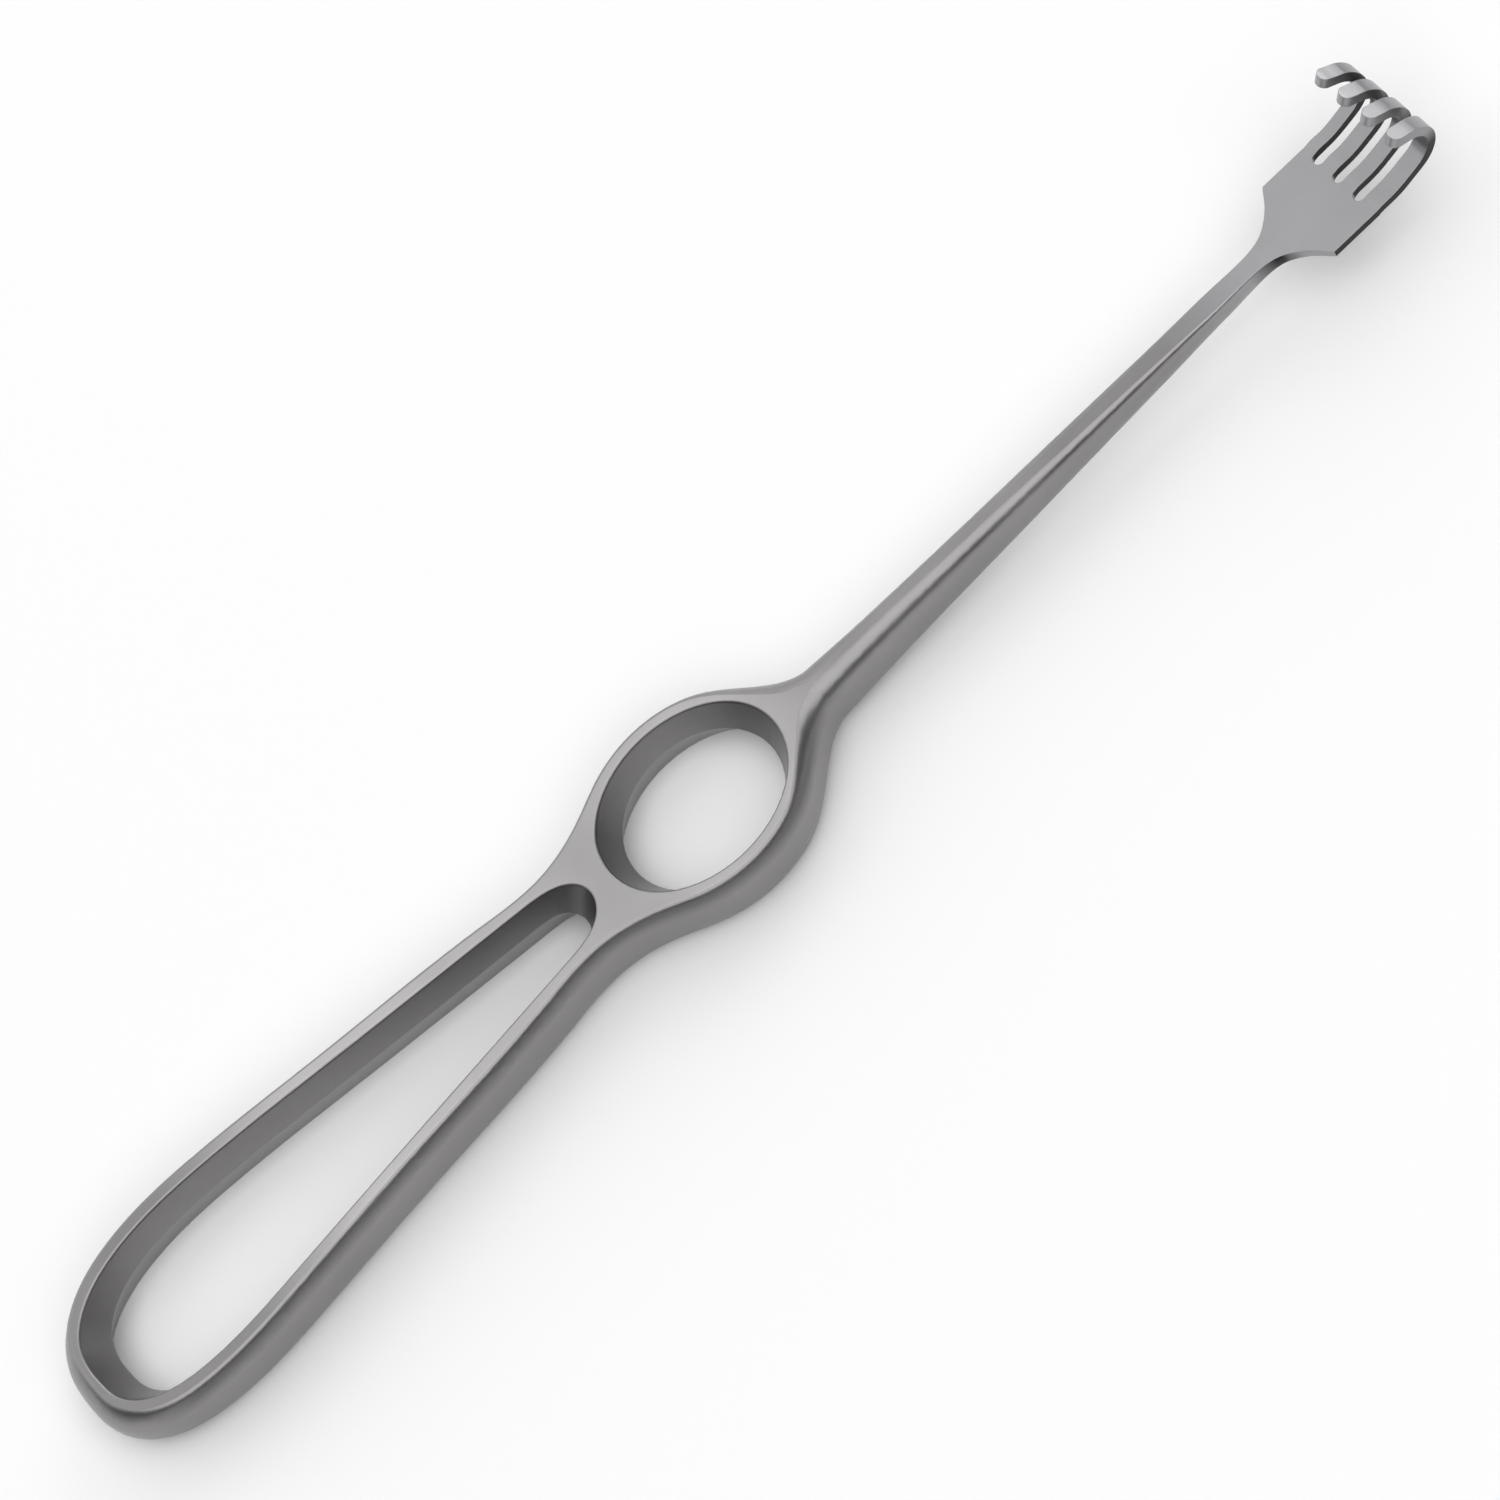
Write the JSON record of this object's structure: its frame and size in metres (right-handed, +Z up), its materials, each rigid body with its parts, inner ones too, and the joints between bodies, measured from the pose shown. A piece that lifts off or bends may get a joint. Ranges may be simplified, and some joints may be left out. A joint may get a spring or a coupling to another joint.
{
  "type": "handheld surgical retractor",
  "caption": "One-piece steel rake retractor with an open loop handle, oval finger ring, slender shaft and blunt hooked prongs, for holding back the edges of a wound.",
  "frame": {"origin": "on the flat back of the handle, under the middle of the tool's length and width", "axes": "+X along the tool from the loop handle towards the prongs, +Y across it, +Z up from the flat back to the side that the prongs hook towards"},
  "size_m": [0.22, 0.0264, 0.0199],
  "materials": {
    "satin_steel": "satin, fine matt blasted, stainless steel"
  },
  "bodies": {
    "root": {"retractor": "satin_steel"}
  },
  "joints": []
}
